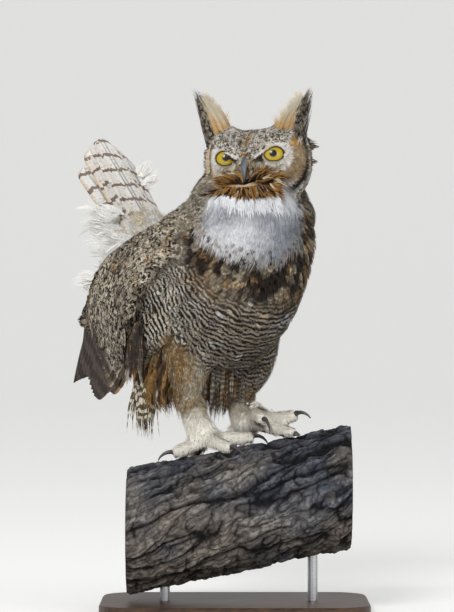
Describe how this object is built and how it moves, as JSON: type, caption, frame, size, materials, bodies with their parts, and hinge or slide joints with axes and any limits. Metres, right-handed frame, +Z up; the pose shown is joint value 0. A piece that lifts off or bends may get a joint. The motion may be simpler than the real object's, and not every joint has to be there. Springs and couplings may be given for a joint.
{
  "type": "great horned owl on a perch",
  "caption": "Life-size great horned owl model, tail cocked, stepping along a short cut branch held over a flat base by two rods.",
  "frame": {"origin": "centre of the display base's underside", "axes": "+Z up, -Y the way the owl's body heads, +X towards the owl's left side"},
  "size_m": [0.3416, 0.4462, 0.6176],
  "materials": {
    "plumage": "matt mottled and barred grey-brown feather",
    "white_plumage": "matt loose white down",
    "face": "matt tawny and chestnut feather",
    "tail": "matt cream feather with brown bars",
    "flight": "matt brown barred feather",
    "leg": "short cream down",
    "horn": "polished dark horn",
    "eye": "clear glossy yellow eye",
    "bark": "deeply furrowed dry bark",
    "stand_rod": "brushed",
    "stand_wood": "dark stained, satin"
  },
  "bodies": {
    "root": {"head": "plumage", "facial_disc_right": "face", "facial_disc_left": "face", "ear_tuft_right": "plumage", "ear_tuft_left": "plumage", "eye_right": "eye", "eye_left": "eye", "bill_upper": "horn", "bill_lower": "horn", "chin_ruff": "face", "throat_bib": "white_plumage", "neck": "plumage", "trunk": "plumage", "tail": "tail", "tail_coverts": "white_plumage", "wing_right": "plumage", "wing_left": "plumage", "flight_feathers_right": "flight", "flight_feathers_left": "flight", "thigh_right": "plumage", "thigh_left": "plumage", "thigh_plumes_right": "face", "thigh_plumes_left": "face", "shank_right": "leg", "shank_left": "leg", "toe_right_inner": "leg", "toe_right_middle": "leg", "toe_right_outer": "leg", "toe_right_hind": "leg", "toe_left_inner": "leg", "toe_left_middle": "leg", "toe_left_outer": "leg", "toe_left_hind": "leg", "claw_right_inner": "horn", "claw_right_middle": "horn", "claw_right_outer": "horn", "claw_right_hind": "horn", "claw_left_inner": "horn", "claw_left_middle": "horn", "claw_left_outer": "horn", "claw_left_hind": "horn", "perch": "bark", "stand_rod_1": "stand_rod", "stand_rod_2": "stand_rod", "stand_base": "stand_wood"}
  },
  "joints": []
}
